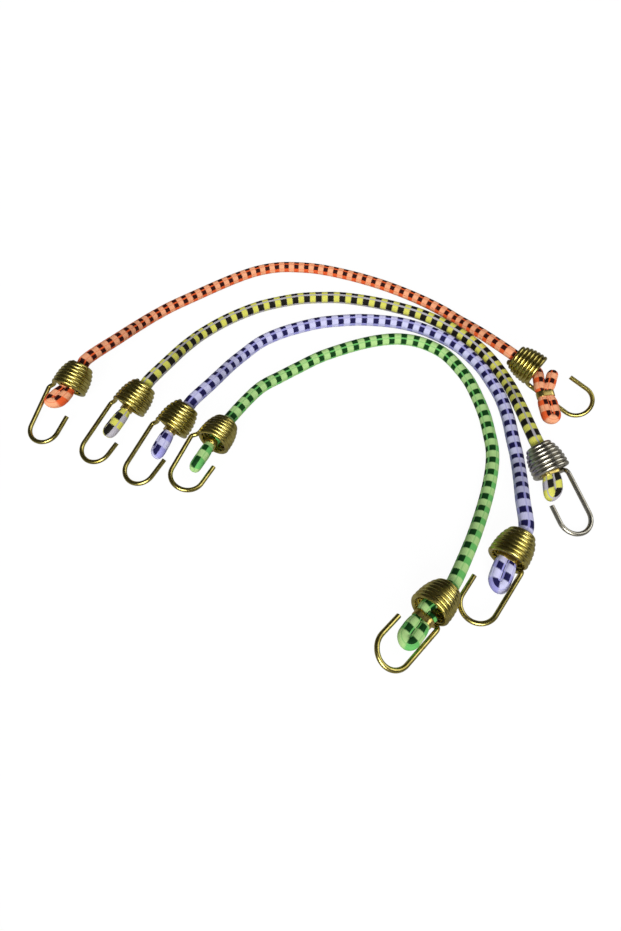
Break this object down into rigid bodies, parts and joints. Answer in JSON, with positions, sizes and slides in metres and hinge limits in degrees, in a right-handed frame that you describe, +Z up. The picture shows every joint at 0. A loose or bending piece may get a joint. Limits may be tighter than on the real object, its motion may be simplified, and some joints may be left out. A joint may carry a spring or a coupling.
{
  "type": "bungee cord set",
  "caption": "Set of thin elastic bungee cords in patterned braid, each end folded into a crimped band and held in the barrel coil of a swivelling wire hook.",
  "frame": {"origin": "on the table, under the middle of the box round the hooks, bands and folded ends", "axes": "+Z up from the table, +X to the right along the row of cord ends, +Y away from the viewer, towards the bends of the cords"},
  "size_m": [0.1895, 0.163, 0.0114],
  "materials": {
    "orange_braid": "braided yarn, orange with light cells and dark dashes",
    "yellow_braid": "braided yarn, pale grey with yellow cells and black dashes",
    "purple_braid": "braided yarn, lilac with pale cells and navy dashes",
    "green_braid": "braided yarn, green with pale cells and dark green dashes",
    "latex": "natural latex",
    "yellow_zinc_wire": "bright steel wire, yellow zinc plating",
    "bright_wire": "bright steel wire, pale zinc plating",
    "band_metal": "thin rolled strip, yellow zinc plating"
  },
  "bodies": {
    "purple_cord": {"purple_sheath": "purple_braid", "purple_core": "latex", "purple_right_fold": "purple_braid", "purple_right_band": "band_metal"},
    "purple_left_end": {"purple_left_fold": "purple_braid", "purple_left_band": "band_metal"},
    "purple_left_hook": {"purple_left_hook": "yellow_zinc_wire"},
    "purple_right_hook": {"purple_right_hook": "yellow_zinc_wire"},
    "green_cord": {"green_sheath": "green_braid", "green_core": "latex", "green_right_fold": "green_braid", "green_right_band": "band_metal"},
    "green_left_end": {"green_left_fold": "green_braid", "green_left_band": "band_metal"},
    "green_left_hook": {"green_left_hook": "yellow_zinc_wire"},
    "green_right_hook": {"green_right_hook": "yellow_zinc_wire"},
    "yellow_cord": {"yellow_sheath": "yellow_braid", "yellow_core": "latex", "yellow_right_fold": "yellow_braid", "yellow_right_band": "band_metal"},
    "yellow_left_end": {"yellow_left_fold": "yellow_braid", "yellow_left_band": "band_metal"},
    "yellow_left_hook": {"yellow_left_hook": "yellow_zinc_wire"},
    "yellow_right_hook": {"yellow_right_hook": "bright_wire"},
    "orange_cord": {"orange_sheath": "orange_braid", "orange_core": "latex", "orange_right_fold": "orange_braid", "orange_right_band": "band_metal"},
    "orange_left_end": {"orange_left_fold": "orange_braid", "orange_left_band": "band_metal"},
    "orange_left_hook": {"orange_left_hook": "yellow_zinc_wire"},
    "orange_right_hook": {"orange_right_hook": "yellow_zinc_wire"}
  },
  "joints": [
    {"name": "green_lift", "type": "slide", "parent": "purple_cord", "child": "green_cord", "axis": [0, 0, 1], "range_m": [0, 0.12]},
    {"name": "yellow_lift", "type": "slide", "parent": "purple_cord", "child": "yellow_cord", "axis": [0, 0, 1], "range_m": [0, 0.12]},
    {"name": "orange_lift", "type": "slide", "parent": "yellow_cord", "child": "orange_cord", "axis": [0, 0, 1], "range_m": [0, 0.12]},
    {"name": "purple_stretch", "type": "slide", "parent": "purple_cord", "child": "purple_left_end", "axis": [-0.4695, -0.8829, 0], "range_m": [0, 0.15], "stiffness_N_per_m": 95, "deforming": ["purple_sheath", "purple_core"]},
    {"name": "purple_left_swivel", "type": "hinge", "parent": "purple_left_end", "child": "purple_left_hook", "pos_m": [-0.0461, 0.0218, 0.005], "axis": [-0.5441, -0.8067, -0.2308], "continuous": true},
    {"name": "purple_right_swivel", "type": "hinge", "parent": "purple_cord", "child": "purple_right_hook", "pos_m": [0.0541, -0.0242, 0.00504], "axis": [-0.5944, -0.7888, -0.1564], "continuous": true},
    {"name": "green_stretch", "type": "slide", "parent": "green_cord", "child": "green_left_end", "axis": [-0.4695, -0.8829, 0], "range_m": [0, 0.15], "stiffness_N_per_m": 95, "deforming": ["green_sheath", "green_core"]},
    {"name": "green_left_swivel", "type": "hinge", "parent": "green_left_end", "child": "green_left_hook", "pos_m": [-0.0322, 0.0163, 0.00505], "axis": [-0.4378, -0.8976, 0.0523], "continuous": true},
    {"name": "green_right_swivel", "type": "hinge", "parent": "green_cord", "child": "green_right_hook", "pos_m": [0.0305, -0.039, 0.00549], "axis": [-0.6879, -0.7123, 0.1392], "continuous": true},
    {"name": "yellow_stretch", "type": "slide", "parent": "yellow_cord", "child": "yellow_left_end", "axis": [-0.4695, -0.8829, 0], "range_m": [0, 0.15], "stiffness_N_per_m": 95, "deforming": ["yellow_sheath", "yellow_core"]},
    {"name": "yellow_left_swivel", "type": "hinge", "parent": "yellow_left_end", "child": "yellow_left_hook", "pos_m": [-0.0614, 0.0307, 0.00501], "axis": [-0.5308, -0.8174, -0.2238], "continuous": true},
    {"name": "yellow_right_swivel", "type": "hinge", "parent": "yellow_cord", "child": "yellow_right_hook", "pos_m": [0.0736, 0.0049, 0.00498], "axis": [0.3317, -0.9114, -0.2437], "continuous": true},
    {"name": "orange_stretch", "type": "slide", "parent": "orange_cord", "child": "orange_left_end", "axis": [-0.4695, -0.8829, 0], "range_m": [0, 0.15], "stiffness_N_per_m": 95, "deforming": ["orange_sheath", "orange_core"]},
    {"name": "orange_left_swivel", "type": "hinge", "parent": "orange_left_end", "child": "orange_left_hook", "pos_m": [-0.0832, 0.0388, 0.00499], "axis": [-0.3797, -0.8945, -0.236], "continuous": true},
    {"name": "orange_right_swivel", "type": "hinge", "parent": "orange_cord", "child": "orange_right_hook", "pos_m": [0.0775, 0.0462, 0.00535], "axis": [0.7242, -0.6754, -0.1392], "range_deg": [-15, 105]}
  ]
}
